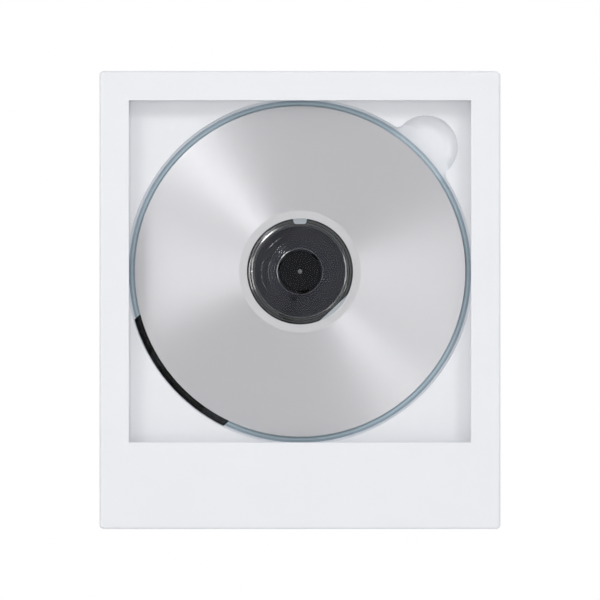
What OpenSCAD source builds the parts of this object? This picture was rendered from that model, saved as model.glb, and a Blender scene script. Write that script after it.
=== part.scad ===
// Wall mounted disc player with a framed window, a hinged cover and an open view of the disc.
// Pieces are drawn in plan: X to the right, Y up, Z out of the wall. upright() stands them up, so
// that in the model +X is right, +Z is up and the front looks along -Y. The origin is the middle of
// the wall bracket's screw pattern, on the wall.

/* [Body] */
// Width of the body
body_w = 140; // [136:0.5:160]
// Height of the body
body_h = 160; // [156:0.5:190]
// Depth of the body, from the wall to the front face
body_d = 28; // [27.6:0.1:34]
// Radius of the body's upright corners
corner_r = 1.6; // [0.8:0.1:3]
// Wall thickness of the housing
wall = 2; // [1.6:0.1:2.4]
// Thickness of the housing's back wall
back_t = 1.8; // [1.4:0.1:2.2]
// Gap between the housing and the wall
wall_gap = 0.6; // [0.3:0.1:1]
// Depth of the front cover
cover_d = 6.3; // [6:0.1:8]
// Gap between the closed cover and the housing
cover_gap = 0.4; // [0.3:0.1:0.8]
// Roundness of the cover's front edges
edge_r = 1; // [0.4:0.1:1.4]

/* [Window] */
// Width of the frame left and right of the square window
frame_side = 10.25; // [9:0.25:14]
// Height of the disc's axis below the bracket's screws
axis_drop = 45; // [42:0.5:48]
// Width of the frame above the window
frame_top = 10.25; // [8.5:0.25:14]
// Thickness of the cover's front panel
panel_t = 2; // [1.6:0.1:2.6]
// Thickness of the clear pane
pane_t = 1.5; // [1:0.1:2]
// Overlap of the pane behind the panel, on each side
pane_lap = 1.5; // [1:0.1:2]

/* [Disc] */
// Radius of the disc
disc_r = 60; // [56:0.5:61]
// Thickness of the disc
disc_t = 1.2; // [1:0.05:1.4]
// Radius of the disc's centre hole
disc_bore_r = 7.5; // [7:0.1:8]
// Inner radius of the metal layer
metal_in_r = 18.6; // [18:0.1:22]
// Outer radius of the metal layer
metal_out_r = 58; // [50:0.5:59]
// Gap between the disc's rim and the well
well_gap = 0.8; // [0.5:0.1:1.5]
// Depth from the disc's underside to the well's floor
well_depth = 1.1; // [0.9:0.1:1.6]
// Radius of the finger scoop
scoop_r = 11.2; // [9:0.2:12]
// Distance of the scoop's centre from the disc's axis
scoop_reach = 62; // [60:0.5:64]
// Direction of the scoop's centre, in degrees
scoop_angle = 44.7; // [40:0.1:50]
// Depth of the scoop below the well's floor
scoop_depth = 2.4; // [1:0.2:3]
// Radius of the blends between the scoop and the well
scoop_blend_r = 2.6; // [2:0.5:6]

/* [Mechanism] */
// Direction in which the pickup moves outwards, in degrees
travel_angle = 221; // [215:1:228]
// Distance of the lens from the disc's axis at rest
lens_in = 24; // [23.5:0.25:24.25]
// Travel of the pickup
pickup_travel = 34; // [28:0.5:34]
// Radius of the spindle motor
motor_r = 11; // [9:0.5:12]
// Height of the spindle motor
motor_h = 5.6; // [4:0.2:6]
// Radius of the spindle shaft
shaft_r = 0.75; // [0.6:0.05:1]
// Radius of the turntable
table_r = 16.3; // [14:0.1:16.4]
// Radius of the hub that centres the disc
hub_r = 7.3; // [6.8:0.1:7.4]
// Radius of the guide rods
rod_r = 1.5; // [1.2:0.1:1.6]
// Distance of each guide rod from the lens line
rod_off = 14; // [13:0.5:14.5]
// Tooth module of the gears and the rack
gear_m = 0.5; // [0.5:0.01:0.52]
// Teeth on the drive gear's pinion
pinion_teeth = 14; // [13:1:15]
// Teeth on the drive gear's wheel
wheel_teeth = 34; // [32:2:36]
// Teeth on the motor's pinion
motor_teeth = 12; // [12:1:13]
// Radius of the sled motor
sled_motor_r = 5.5; // [4:0.5:6]

/* [Buttons] */
// Number of buttons
button_count = 7; // [3:1:7]
// Distance between buttons
button_pitch = 15.2; // [12:0.2:15.6]
// Distance of the first button from the body's left side
button_inset = 12.5; // [11:0.1:14]
// Radius of a button's cap
button_r = 2.9; // [2.2:0.1:3.2]
// Height that a button stands proud
button_proud = 0.5; // [0.3:0.1:1]
// Travel of a button
button_travel = 0.4; // [0.2:0.1:0.6]

/* [Wall bracket] */
// Width of the bracket's plate
bracket_w = 84; // [76:1:90]
// Height of the bracket's plate
bracket_h = 26; // [24:1:28]
// Thickness of the bracket's steel
bracket_t = 1.5; // [1.2:0.1:1.8]
// Distance between the bracket's screw holes
bracket_pitch = 60; // [56:1:64]
// Radius of the bracket's screw holes
bracket_hole_r = 2.2; // [1.8:0.1:2.6]
// Height that the player lifts to leave the bracket
lift = 8; // [7:0.5:9]

/* [Electronics] */
// Length of the battery
battery_l = 58; // [40:1:60]
// Height of the battery
battery_h = 32; // [24:1:34]
// Thickness of the battery
battery_t = 5; // [4:0.2:6]
// Thickness of the circuit boards
board_t = 1.2; // [1:0.1:1.6]
// Radius of the audio jack's bore
jack_r = 1.8; // [1.7:0.05:1.9]
// Length of the audio jack
jack_l = 12; // [10:0.5:14]

/* [Hidden] */
$fn = 96;

// Clearances: faces that part, a fixed fit, a running fit, and a hair for cuts to break through
gap = 0.2;
fit = 0.01;
run = 0.03;
cut = 0.5;

// Sides of the circle for small rounded corners and for the lens
corner_sides = 32;
lens_sides = 48;

// Plan of the body
half_w = body_w / 2;
window = body_w - 2 * frame_side;
axis_y = -axis_drop;
body_top = axis_y + window / 2 + frame_top;
body_bottom = body_top - body_h;
body_mid = (body_top + body_bottom) / 2;
back_chamfer = 0.8;
slab_t = 0.1;
inner_r = 1;

// Levels out of the wall
cover_z = body_d - cover_d;
rim_z = cover_z - cover_gap;
panel_z = body_d - panel_t;
pane_z = panel_z - pane_t;
rim_lip = 0.7;
deck_z = rim_z - rim_lip;
deck_t = 1.6;
floor_t = 1.4;
disc_z = deck_z - disc_t;
well_z = disc_z - well_depth;
scoop_z = well_z - scoop_depth;
inside_z = wall_gap + back_t;
well_r = disc_r + well_gap;

// Cover, its hinge and its magnets
skirt_t = 2;
hinge_in = 2.8;
hinge_x = -half_w + hinge_in;
hinge_z = body_d - hinge_in;
hinge_pin_r = 0.8;
barrel_r = 1.7;
knuckle_r = 2.2;
lug_l = 6;
knuckle_l = 3;
lug_end = skirt_t + 2;
lug_ys = [body_bottom + lug_end + knuckle_l, body_top - lug_end - knuckle_l - lug_l];
pane_gap = 0.1;
pane_half = window / 2 + pane_lap;
rim_in = pane_half + pane_gap;
rim_t = 1.5;
rim_back = 0.7;
magnet_r = 2;
magnet_t = 2;
magnet_wall = 0.55;
magnet_boss = 0.35;
magnet_floor = 0.8;
magnet_end = 24;
magnet_x = half_w - skirt_t - magnet_wall - magnet_r;
magnet_ys = [body_top - magnet_end, body_bottom + magnet_end];
lug_web = 0.6;
cover_inner_r = 0.6;
pane_r = 0.4;
cover_rib_count = 6;
cover_rib_h = 2;
cover_rib_t = 1;
cover_rib_pitch = 20;

// Well, scoop and mechanism opening
scoop_c = scoop_reach * [cos(scoop_angle), sin(scoop_angle)];
blend_bite = 0.1;
blend_tuck = 0.98;
scoop_tuck = 0.9;
scoop_under = 6;
well_wall = 1.2;
deck_post_step = 0.6;
opening_left = 25.5;
opening_right = 23.3;
opening_start = 14;
opening_hub_r = 20.5;
opening_neck = 19;
chord_reach = 17.4;
chord_half = 12.5;
chord_angle = 313;
tab_w = 6.3;
tab_tip_w = 4.6;
tab_reach = 16.7;
tab_corner_r = 1;

// Mechanism
mech_t = 1.6;
mech_room = 2.5;
mech_z = well_z - floor_t - mech_room;
mech_top = mech_z + mech_t;
mech_back = 23;
mech_half = 28;
mech_end = 68;
mech_end_half = 18;
mech_shoulder = 56;
mech_corner = 6;
mech_rib_in = 1;
mech_rib_t = 1;
mech_rib_h = 0.6;
lobe_wall = 1.2;
ear_r = 5;
ear_in = 13;
ear_out = 43;
ear_side = 31;
ears = [for (x = [-ear_in, ear_out], y = [-ear_side, ear_side]) [x, y]];
grommet_r = 2.6;
grommet_flange_r = 3.6;
grommet_flange_t = 0.7;
post_r = 1.5;
post_end = mech_z - grommet_flange_t - gap;
screw_shank_r = 0.8;
mech_screw_head_r = 2.6;
mech_screw_head_t = 1;
mech_screw_l = 3.2;
motor_z = mech_z - motor_h;
motor_floor = 0.8;
boss_r = 4;
boss_out = 0.5;
boss_gap = 0.4;
hub_rib_start = 5.5;
dust_ring_in = 1.5;
dust_ring_r = table_r - dust_ring_in;
dust_ring_t = 1.2;
table_gap = 1.6;
table_z = mech_top + table_gap;
mat_t = 0.5;
mat_in_r = 10.5;
mat_edge = 0.5;
mat_out_r = table_r - mat_edge;
table_top = disc_z - mat_t;
hub_proud = 1.5;
hub_top = deck_z + hub_proud;
hub_chamfer = 0.9;
hub_hole_r = 0.55;
hub_hole_reach = 4.4;
hub_hole_depth = 0.7;
hub_groove_r = 3.1;
hub_groove_w = 0.5;
hub_groove_depth = 0.35;
claw_angles = [44, 164, 284];
claw_w = 3;
claw_h = 0.8;
claw_in = 4.6;
claw_room = 0.9;
claw_lead = 0.5;
claw_nose = 0.2;
claw_step = 0.3;
claw_reach = disc_bore_r + claw_step;
claw_gap = 0.1;
claw_z = deck_z + claw_gap;

// Disc's metal layer and the groove round its clear centre
metal_t = 0.1;
stack_groove_r = 17.3;
stack_groove_w = 0.7;
stack_groove_depth = 0.15;

// Pickup and its drive
lens_r = 1.6;
lens_ring_r = 2.3;
lens_below = 1.3;
lens_z = disc_z - lens_below;
carriage_in = 8.5;
carriage_out = 5.5;
carriage_half = 11.5;
carriage_below = 4.6;
carriage_z = mech_z - carriage_below;
carriage_top = mech_top - gap / 2;
carriage_arm_w = 7;
carriage_web = 1.2;
pocket_in = 5;
pocket_out = 4;
pocket_half = 7;
pocket_z = carriage_z + 2;
cover_plate_t = 0.8;
cover_plate_l = 13;
cover_plate_w = 18;
cover_plate_r = 2;
cover_plate_in = 1.5;
lens_gap = 0.4;
lens_cap = 0.6;
lens_curve_r = 3;
rod_seat = 2;
rod_start = motor_r + 1;
rod_l = mech_end - rod_seat - gap - rod_start;
slot_rim = 4;
slot_start = rod_start + cut;
slot_end = mech_end - slot_rim;
slot_gap = 1;
bearing_r = rod_r + 1;
rod_gap = 0.4;
rod_z = mech_z - bearing_r - rod_gap;
pinion_r = gear_m * pinion_teeth / 2;
wheel_r = gear_m * wheel_teeth / 2;
motor_pinion_r = gear_m * motor_teeth / 2;
tooth_tip = 0.7;
tooth_root = 0.95;
addendum = tooth_tip * gear_m;
dedendum = tooth_root * gear_m;
backlash = 0.1;
pressure_angle = 20;
rack_back = 1.6;
rack_spare = 3;
rack_room = 1.9;
rack_pitch_y = rod_off + bearing_r + rack_room;
gear_x = 30;
gear_y = rack_pitch_y + pinion_r;
rack_below = 3.9;
rack_z = mech_z - rack_below;
rack_h = 2;
wheel_below = 3.4;
wheel_z = rack_z - wheel_below;
wheel_t = 1.5;
axle_r = 0.75;
axle_end = 0.8;
axle_flange = 0.6;
axle_flange_t = 0.5;
motor_dir = 140;
sled_c = [gear_x, gear_y] + (wheel_r + motor_pinion_r) * [cos(motor_dir), sin(motor_dir)];
sled_motor_gap = 0.9;
sled_motor_z = wheel_z + wheel_t + sled_motor_gap;
sled_shaft_r = 0.6;
sled_bore = 2;
sled_boss_r = 1.8;
sled_boss_h = 1;

// Buttons and their board
button_z = 11;
button_xs = [for (i = [0 : button_count - 1]) -half_w + button_inset + i * button_pitch];
button_flange = 0.8;
button_flange_r = button_r + button_flange;
button_flange_t = 0.8;
stem_r = 1.6;
stem_in = 0.8;
switch_w = 6;
switch_h = 3.5;
switch_bore = stem_in + button_travel + 1;
flange_y = body_top - wall - gap;
stem_l = 1.8;
stem_end = flange_y - button_flange_t - stem_l;
switch_top = stem_end + stem_in;
board_y = switch_top - switch_h - board_t;
button_board_half = (switch_w + gap) / 2;
button_board_side = 6;
button_board_in = 2.5;
sensor_w = 3;
sensor_t = 1;

// Bracket, its recess and its hooks
bracket_r = 3;
recess_side = bracket_w / 2 + 2;
recess_gap_low = 1.2;
recess_gap_high = 1.4;
recess_low = bracket_h / 2 + lift + recess_gap_low;
recess_high = bracket_h / 2 + recess_gap_high;
recess_floor = 1.4;
recess_room = 0.8;
hook_w = 12;
hook_x = 18;
hook_y = -6;
hook_gap = 2.6;
recess_z = 2 * bracket_t + hook_gap + recess_room;
hook_up = 8;
keeper_h = 3;
keeper_t = 1.8;
keeper_gap = 0.4;
keeper_y = hook_y + bracket_t + gap;
keeper_z = bracket_t + keeper_gap;

// Fasteners of the housing and its pads
screw_in = 9;
screw_end = 18;
screw_xs = [-half_w + screw_in, half_w - screw_in];
screw_ys = [body_top - screw_end, body_bottom + screw_in];
screw_r = 1.2;
screw_head_r = 2.3;
screw_head_t = 1.4;
screw_l = 9;
socket_r_share = 0.5;
socket_t_share = 0.6;
housing_post_r = 3.6;
housing_post_h = 3.4;
housing_post_z = inside_z + housing_post_h;
pad_r = 4;
pad_t = 1;
pad_up = 9;

// Battery, and the main board in the room left of it and below the drive gear
side_gap = 1;
battery_in = 3;
battery_up = 1.6;
battery_x = half_w - wall - battery_in - battery_l;
battery_y = screw_ys[1] + housing_post_r + battery_up;
cell_rail_t = 1;
cell_rail_h = 3;
cell_end_t = 1.2;
cell_end_in = 4;
cell_end_low = 1;
main_x = screw_xs[0] + housing_post_r + side_gap;
main_y = body_bottom + wall + side_gap + gap;
battery_gap = 3.4;
main_w = battery_x - main_x - battery_gap;
gear_low = axis_y + gear_x * sin(travel_angle) + gear_y * cos(travel_angle) - wheel_r;
main_h = gear_low - 2 * side_gap - main_y;
main_z = inside_z + 1;
board_screw_x = 6;
board_screw_y = 8;
board_screw_pts = [for (x = [main_x + board_screw_x, main_x + main_w - board_screw_x],
    y = [main_y + board_screw_y, main_y + main_h - board_screw_y]) [x, y]];
board_screw_head_r = 1.7;
board_screw_head_t = 1;
standoff_r = 2.4;
port_z = main_z + board_t;
chip_field = main_h - jack_l;
processor_w = chip_field * 0.42;
memory_w = chip_field * 0.28;
memory_h = chip_field * 0.2;
small_chip_w = chip_field * 0.2;
small_chip_y = -chip_field * 0.18;
chip_t = 1;
coil_r = chip_field * 0.07;
coil_h = 1.4;
coil_count = 3;
coil_pitch = chip_field * 0.24;
capacitor_w = 2;
capacitor_h = 1.2;
capacitor_count = 5;
capacitor_pitch = main_w / 12;
socket_w = main_w * 0.27;
socket_h = 4;
usb_side = 26;
usb_x = -half_w + usb_side;
usb_w = 8.9;
usb_h = 3.2;
usb_l = 7.4;
usb_in = 0.4;
usb_shell = 0.3;
usb_back = 1;
usb_tongue_w = 6.6;
usb_tongue_t = 0.7;
usb_tongue_in = 0.8;
jack_side = 44;
jack_x = -half_w + jack_side;
jack_w = 6.4;
jack_z = port_z + jack_w / 2;
jack_nose_r = 2.8;
jack_nose_l = 1.6;
jack_end = 1;

// Stands a piece drawn in plan up against the wall
module upright() rotate([90, 0, 0]) children();

// Moves a piece drawn around the disc's axis to its place
module on_axis() translate([0, axis_y, 0]) children();

// Turns a piece drawn along +X to the pickup's direction of travel
module along_travel() on_axis() rotate(travel_angle) children();

// A rectangle with rounded corners, about its centre
module rounded_rect(w, h, r) {
    square([w - 2 * r, h], center = true);
    square([w, h - 2 * r], center = true);
    for (x = [-1, 1], y = [-1, 1])
        translate([x * (w / 2 - r), y * (h / 2 - r)]) circle(r, $fn = corner_sides);
}

// A block of the body's outline, less an inset
module body_slab(z, h, inset = 0)
    translate([0, body_mid, z]) linear_extrude(h)
        rounded_rect(body_w - 2 * inset, body_h - 2 * inset, max(corner_r - inset, gap));

// A box given by two corners
module box(a, b) translate(a) cube(b - a);

// A cylinder that runs along the body's height, from y0 to y1
module y_cylinder(r, x, z, y0, y1)
    translate([x, y1, z]) rotate([90, 0, 0]) cylinder(r = r, h = y1 - y0);

// A ring
module ring(r_out, r_in, h) difference() {
    cylinder(r = r_out, h = h);
    translate([0, 0, -cut]) cylinder(r = r_in, h = h + 2 * cut);
}

// A screw with its head below z = 0 and a hexagonal socket
module screw(head_r, head_t, shank_r, length) {
    difference() {
        translate([0, 0, -head_t]) cylinder(r = head_r, h = head_t);
        translate([0, 0, -head_t - cut])
            cylinder(r = head_r * socket_r_share, h = head_t * socket_t_share + cut, $fn = 6);
    }
    cylinder(r = shank_r, h = length);
}

// Involute of an angle, in degrees
function involute(a) = tan(a) * 180 / PI - a;

// Half the angle that a tooth covers at radius r, for n teeth
function tooth_half(n, r) =
    let (pitch_r = gear_m * n / 2, base_r = pitch_r * cos(pressure_angle))
    90 / n - backlash / 2 / pitch_r * 180 / PI + involute(pressure_angle)
        - (r > base_r ? involute(acos(base_r / r)) : 0);

// The outline of a gear with n involute teeth, one of them on the +X axis
module gear_outline(n) {
    pitch_r = gear_m * n / 2;
    root_r = pitch_r - dedendum;
    tip_r = pitch_r + addendum;
    base_r = pitch_r * cos(pressure_angle);
    radii = [root_r, max(base_r, root_r + fit), (base_r + tip_r) / 2, tip_r];
    polygon([for (k = [0 : n - 1]) each concat(
        [for (i = [0 : 3]) let (a = k * 360 / n - tooth_half(n, radii[i]))
            radii[i] * [cos(a), sin(a)]],
        [for (i = [3 : -1 : 0]) let (a = k * 360 / n + tooth_half(n, radii[i]))
            radii[i] * [cos(a), sin(a)]])]);
}

// The points where two circles meet, the one on the left of the line between their centres first
function circles_meet(c, r1, r2) =
    let (d = norm(c), a = (r1 * r1 - r2 * r2 + d * d) / (2 * d), h = sqrt(r1 * r1 - a * a),
        u = c / d, v = [-u[1], u[0]])
    [a * u + h * v, a * u - h * v];

// The well with the scoop and its two blends, which meet the circles at a slight angle
module well_outline() {
    circle(well_r);
    translate(scoop_c) circle(scoop_r);
    tips = circles_meet(scoop_c, well_r, scoop_r);
    reach = scoop_blend_r - blend_bite;
    centres = circles_meet(scoop_c, well_r + reach, scoop_r + reach);
    for (i = [0, 1]) difference() {
        polygon([tips[i] * blend_tuck, centres[i] * blend_tuck * well_r / norm(centres[i]), centres[i],
            scoop_c + (centres[i] - scoop_c) * scoop_tuck * scoop_r / norm(centres[i] - scoop_c)]);
        translate(centres[i]) circle(scoop_blend_r);
    }
}

// The deck's opening over the mechanism, in plan around the disc's axis
module mechanism_opening() difference() {
    intersection() {
        circle(well_r - gap);
        union() {
            circle(opening_hub_r);
            rotate(travel_angle) translate([opening_start, -opening_left])
                square([well_r, opening_left + opening_right]);
            rotate(travel_angle) translate([0, -opening_neck])
                square([opening_start + cut, 2 * opening_neck]);
        }
    }
    difference() {
        rotate(chord_angle) translate([chord_reach, -chord_half]) square([opening_hub_r, 2 * chord_half]);
        rotate(travel_angle) translate([opening_start, -opening_left]) square(well_r);
    }
    opening_tab();
}

// The tab that reaches in over the opening at the top, with a rounded tip
module opening_tab() {
    tip_in = tab_tip_w / 2 - tab_corner_r;
    polygon([[-tab_w / 2, opening_hub_r + cut], [-tab_tip_w / 2, tab_reach + tab_corner_r],
        [tab_tip_w / 2, tab_reach + tab_corner_r], [tab_w / 2, opening_hub_r + cut]]);
    translate([-tip_in, tab_reach]) square([2 * tip_in, tab_corner_r + fit]);
    for (x = [-tip_in, tip_in]) translate([x, tab_reach + tab_corner_r])
        circle(tab_corner_r, $fn = corner_sides);
}

// The mechanism deck's outline, with its ears and the sled motor's lobe
module mechanism_outline() {
    polygon([[-mech_back + mech_corner, -mech_half], [mech_shoulder, -mech_half],
        [mech_end, -mech_end_half], [mech_end, mech_end_half], [mech_shoulder, mech_half],
        [-mech_back + mech_corner, mech_half], [-mech_back, mech_half - mech_corner],
        [-mech_back, -mech_half + mech_corner]]);
    for (p = ears) {
        translate(p) circle(ear_r);
        translate([p[0] - ear_r, min(p[1], 0)]) square([2 * ear_r, abs(p[1])]);
    }
    translate(sled_c) circle(sled_motor_r + lobe_wall);
}

module wall_bracket() color("gainsboro") upright() {
    difference() {
        linear_extrude(bracket_t) rounded_rect(bracket_w, bracket_h, bracket_r);
        for (x = [-1, 1]) translate([x * bracket_pitch / 2, 0, -cut])
            cylinder(r = bracket_hole_r, h = bracket_t + 2 * cut);
    }
    for (x = [-hook_x, hook_x]) translate([x - hook_w / 2, hook_y, 0]) {
        translate([0, 0, bracket_t - fit]) cube([hook_w, bracket_t, hook_gap + bracket_t + fit]);
        translate([0, 0, bracket_t + hook_gap]) cube([hook_w, hook_up, bracket_t]);
    }
}

module rear_housing() color("whitesmoke") upright() {
    difference() {
        hull() {
            body_slab(wall_gap, slab_t, back_chamfer);
            body_slab(wall_gap + back_chamfer, rim_z - wall_gap - back_chamfer);
        }
        translate([0, body_mid, inside_z]) linear_extrude(body_d)
            rounded_rect(body_w - 2 * wall, body_h - 2 * wall, inner_r);
        box([-recess_side, -recess_low, wall_gap - cut], [recess_side, recess_high, inside_z + cut]);
        for (x = button_xs) y_cylinder(button_r + gap, x, button_z, body_top - wall - cut, body_top + cut);
        y_cylinder(jack_nose_r + gap, jack_x, jack_z, body_bottom - cut, body_bottom + wall + cut);
        translate([usb_x, body_bottom - cut, port_z + usb_h / 2]) rotate([-90, 0, 0])
            linear_extrude(wall + 2 * cut)
                rounded_rect(usb_w + 2 * gap, usb_h + 2 * gap, usb_h / 2);
        for (x = screw_xs, y = screw_ys) translate([x, y, wall_gap - cut])
            cylinder(r = screw_head_r + gap, h = cut + screw_head_t + gap);
        for (x = screw_xs, y = screw_ys) translate([x, y, wall_gap])
            cylinder(r = screw_r + gap, h = screw_l);
        for (x = screw_xs, y = screw_ys) translate([x, y + pad_up, wall_gap - cut])
            cylinder(r = pad_r + fit, h = cut + pad_t - wall_gap + gap);
    }
    difference() {
        box([-recess_side - recess_floor, -recess_low - recess_floor, wall_gap + back_t / 2],
            [recess_side + recess_floor, recess_high + recess_floor, recess_z + recess_floor]);
        box([-recess_side, -recess_low, wall_gap - cut], [recess_side, recess_high, recess_z]);
    }
    box([-recess_side - fit, keeper_y, keeper_z],
        [recess_side + fit, keeper_y + keeper_h, keeper_z + keeper_t]);
    for (x = screw_xs, y = screw_ys) translate([x, y, inside_z - fit])
        ring(housing_post_r, screw_r + gap, housing_post_z - inside_z + fit);
    for (p = board_screw_pts) translate([p[0], p[1], inside_z - fit])
        ring(standoff_r, screw_shank_r + fit, main_z - inside_z + fit);
    battery_rails();
}

// Low rails that hold the battery along its two long sides
module battery_rails() for (y = [battery_y - gap - cell_rail_t, battery_y + battery_h + gap])
    box([battery_x, y, inside_z - fit],
        [battery_x + battery_l, y + cell_rail_t, inside_z + cell_rail_h]);

module deck_plate() color("white") upright() {
    difference() {
        union() {
            translate([0, body_mid, deck_z - deck_t]) linear_extrude(deck_t)
                rounded_rect(body_w - 2 * wall - 2 * gap, body_h - 2 * wall - 2 * gap, inner_r);
            on_axis() {
                translate([0, 0, well_z - floor_t])
                    cylinder(r = well_r + well_wall, h = deck_z - well_z + floor_t - fit);
                translate([0, 0, scoop_z - floor_t]) translate(scoop_c)
                    cylinder(r = scoop_r + well_wall, h = deck_z - scoop_z + floor_t - fit);
            }
            for (y = magnet_ys) translate([magnet_x, y, deck_z - magnet_t - magnet_floor])
                cylinder(r = magnet_r + magnet_boss, h = magnet_t);
        }
        on_axis() {
            translate([0, 0, well_z]) linear_extrude(body_d) well_outline();
            difference() {
                translate([0, 0, scoop_z]) translate(scoop_c) cylinder(r = scoop_r, h = body_d);
                translate([0, 0, scoop_z - cut])
                    cylinder(r = disc_r - scoop_under, h = well_z - scoop_z + cut);
            }
            translate([0, 0, well_z - floor_t - cut]) linear_extrude(body_d) mechanism_opening();
        }
        for (y = magnet_ys) translate([magnet_x, y, deck_z - magnet_t])
            cylinder(r = magnet_r + fit, h = magnet_t + cut);
    }
    for (x = screw_xs, y = screw_ys) translate([x, y, housing_post_z + fit])
        ring(housing_post_r - deck_post_step, screw_r + fit, deck_z - deck_t - housing_post_z);
    along_travel() for (p = ears) translate([p[0], p[1], post_end])
        ring(post_r, screw_shank_r + fit, well_z - floor_t - post_end + fit);
    hinge_lugs();
}

// The two lugs that carry the hinge pins
module hinge_lugs() for (y = lug_ys)
    difference() {
        union() {
            y_cylinder(barrel_r, hinge_x, hinge_z, y, y + lug_l);
            box([hinge_x - lug_web, y, deck_z - fit], [hinge_x + barrel_r, y + lug_l, hinge_z]);
        }
        y_cylinder(hinge_pin_r + fit, hinge_x, hinge_z, y - cut, y + lug_l + cut);
    }

module hinge_pins() color("silver") upright()
    for (y = lug_ys)
        y_cylinder(hinge_pin_r, hinge_x, hinge_z, y - knuckle_l, y + lug_l + knuckle_l);

module deck_magnets() color("silver") upright()
    for (y = magnet_ys) translate([magnet_x, y, deck_z - magnet_t]) cylinder(r = magnet_r, h = magnet_t);

module housing_screws() color("dimgray") upright()
    for (x = screw_xs, y = screw_ys) translate([x, y, wall_gap + screw_head_t + gap])
        screw(screw_head_r, screw_head_t, screw_r, screw_l);

module wall_pads() color("lightgray") upright()
    for (x = screw_xs, y = screw_ys) translate([x, y + pad_up, 0]) cylinder(r = pad_r, h = pad_t + gap);

module mechanism_deck() color("#202124") upright() along_travel() {
    difference() {
        translate([0, 0, mech_z]) linear_extrude(mech_t) difference() {
            mechanism_outline();
            circle(boss_r + gap);
            translate([slot_start, -carriage_half - slot_gap])
                square([slot_end - slot_start, 2 * (carriage_half + slot_gap)]);
        }
        for (p = ears) translate([p[0], p[1], mech_z - cut])
            cylinder(r = grommet_r, h = mech_t + 2 * cut);
        translate([gear_x, gear_y, mech_z - cut]) cylinder(r = axle_r + fit, h = mech_t + 2 * cut);
        translate([sled_c[0], sled_c[1], mech_z - cut])
            cylinder(r = sled_boss_r + gap, h = mech_t + 2 * cut);
    }
    for (y = [-rod_off, rod_off], x = [rod_start, rod_start + rod_l - rod_seat]) difference() {
        box([x, y - bearing_r, rod_z - bearing_r], [x + rod_seat, y + bearing_r, mech_z + fit]);
        translate([x - cut, y, rod_z]) rotate([0, 90, 0])
            cylinder(r = rod_r + fit, h = rod_seat + 2 * cut);
    }
    mechanism_ribs();
}

// The ring under the turntable with its spokes, and a rib along each side of the pickup's slot
module mechanism_ribs() {
    translate([0, 0, mech_top - fit]) ring(dust_ring_r, dust_ring_r - dust_ring_t, mech_rib_h + fit);
    for (a = [60 : 60 : 300]) rotate(a) box([hub_rib_start, -mech_rib_t / 2, mech_top - fit],
        [dust_ring_r - dust_ring_t + fit, mech_rib_t / 2, mech_top + mech_rib_h - fit]);
    for (y = [-mech_half + mech_rib_in, mech_half - mech_rib_in - mech_rib_t])
        box([mech_end_half, y, mech_top - fit], [mech_shoulder, y + mech_rib_t, mech_top + mech_rib_h]);
}

module spindle_motor() color("silver") upright() on_axis() translate([0, 0, motor_z]) difference() {
    union() {
        cylinder(r = motor_r, h = motor_h - gap);
        cylinder(r = boss_r, h = motor_h + mech_t + boss_out);
    }
    translate([0, 0, motor_floor]) cylinder(r = shaft_r + run, h = body_d);
}

module sled_motor() color("silver") upright() along_travel() translate([sled_c[0], sled_c[1], 0]) {
    difference() {
        translate([0, 0, sled_motor_z]) cylinder(r = sled_motor_r, h = mech_z - sled_motor_z - fit);
        translate([0, 0, sled_motor_z - cut]) cylinder(r = sled_shaft_r + run, h = sled_bore + cut);
    }
    translate([0, 0, mech_z - 2 * fit]) cylinder(r = sled_boss_r, h = sled_boss_h);
}

// A guide rod on one side of the pickup
module guide_rod(y) upright() along_travel() translate([rod_start, y, rod_z])
    rotate([0, 90, 0]) cylinder(r = rod_r, h = rod_l);

module guide_rod_upper() color("silver") guide_rod(-rod_off);

module guide_rod_lower() color("silver") guide_rod(rod_off);

module damper_grommets() color("#303030") upright() along_travel()
    for (p = ears) translate([p[0], p[1], mech_z - grommet_flange_t]) difference() {
        union() {
            cylinder(r = grommet_flange_r, h = grommet_flange_t - fit);
            cylinder(r = grommet_r - fit, h = mech_t + 2 * grommet_flange_t);
            translate([0, 0, grommet_flange_t + mech_t + fit])
                cylinder(r = grommet_flange_r, h = grommet_flange_t - fit);
        }
        translate([0, 0, -cut]) cylinder(r = post_r + 2 * fit, h = body_d);
    }

module mechanism_screws() color("dimgray") upright() along_travel()
    for (p = ears) translate([p[0], p[1], post_end - fit])
        screw(mech_screw_head_r, mech_screw_head_t, screw_shank_r, mech_screw_l);

module gear_axle() color("silver") upright() along_travel()
    translate([gear_x, gear_y, wheel_z - axle_end]) {
        cylinder(r = axle_r, h = mech_top - wheel_z + axle_end);
        cylinder(r = axle_r + axle_flange, h = axle_flange_t);
    }

module main_board() color("seagreen") upright() difference() {
    box([main_x, main_y, main_z], [main_x + main_w, main_y + main_h, main_z + board_t]);
    for (p = board_screw_pts) translate([p[0], p[1], main_z - cut])
        cylinder(r = screw_shank_r + gap, h = board_t + 2 * cut);
}

// A flat part on the main board, centred on x, y
module chip(x, y, w, h, t = chip_t)
    translate([x - w / 2, y - h / 2, port_z]) cube([w, h, t]);

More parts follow.
